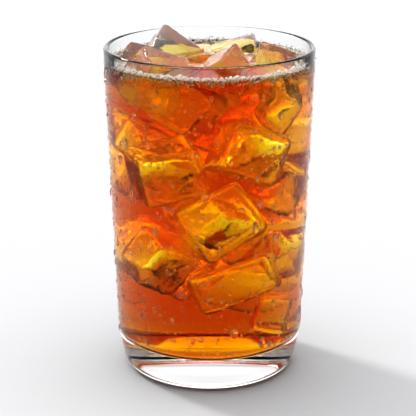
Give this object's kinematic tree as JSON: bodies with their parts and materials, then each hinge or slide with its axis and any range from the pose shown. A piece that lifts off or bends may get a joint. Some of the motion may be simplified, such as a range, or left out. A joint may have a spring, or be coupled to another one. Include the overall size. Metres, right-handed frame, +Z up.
{
  "type": "glass tumbler of iced tea",
  "caption": "Tall tapered glass tumbler with a heavy base, filled with iced tea and ice cubes that break the surface inside a ring of froth.",
  "frame": {"origin": "centre of the foot's underside plane", "axes": "+Z up along the glass's axis; +X to the right and -Y towards the viewer of the front"},
  "size_m": [0.085, 0.085, 0.1406],
  "materials": {
    "glass": "clear smooth soda-lime glass, misted with condensation on the outside",
    "tea": null,
    "ice": "wet clear ice with a little white frost inside",
    "froth": "small wet bubbles, nearly white"
  },
  "bodies": {
    "root": {"glass": "glass", "tea": "tea", "ice_rear_left": "ice", "ice_left": "ice", "ice_front_left": "ice", "ice_front_mid": "ice", "ice_rear_mid": "ice", "ice_right": "ice", "froth": "froth"}
  },
  "joints": []
}
